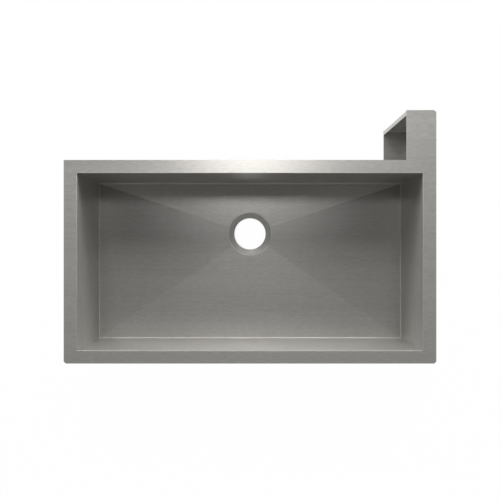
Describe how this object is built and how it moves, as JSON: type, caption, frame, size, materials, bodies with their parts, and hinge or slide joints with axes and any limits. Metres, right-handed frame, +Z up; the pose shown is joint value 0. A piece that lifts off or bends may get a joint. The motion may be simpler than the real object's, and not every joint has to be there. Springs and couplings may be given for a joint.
{
  "type": "undermount kitchen sink",
  "caption": "Deep rectangular undermount sink with a flat rim, a creased floor falling to a rear drain, and a rim arm at the rear right over a deep pocket open to the left.",
  "frame": {"origin": "middle of the drain hole, on the face that the strainer's flange seats on", "axes": "+X to the right, +Y to the rear, where the arm is, and +Z up, out of the drain"},
  "size_m": [0.905, 0.6155, 0.2975],
  "materials": {
    "rim_sheet": "satin, brushed from left to right",
    "wall_sheet": "satin, brushed along the wall",
    "floor_sheet": "satin, brushed from left to right",
    "pocket_sheet": "satin, brushed",
    "weld": "weld dressed level with the sheet",
    "sound_pad": "matt butyl rubber"
  },
  "bodies": {
    "root": {"rim_plate": "rim_sheet", "front_wall": "wall_sheet", "rear_wall": "wall_sheet", "left_wall": "wall_sheet", "right_wall": "wall_sheet", "bowl_floor": "floor_sheet", "drain_seat": "floor_sheet", "corner_welds": "weld", "pocket_wrap": "pocket_sheet", "pocket_end": "pocket_sheet", "front_pad": "sound_pad", "rear_pad": "sound_pad", "left_pad": "sound_pad", "right_pad": "sound_pad", "floor_pad_left": "sound_pad", "floor_pad_right": "sound_pad", "floor_pad_front": "sound_pad", "floor_pad_rear": "sound_pad"}
  },
  "joints": []
}
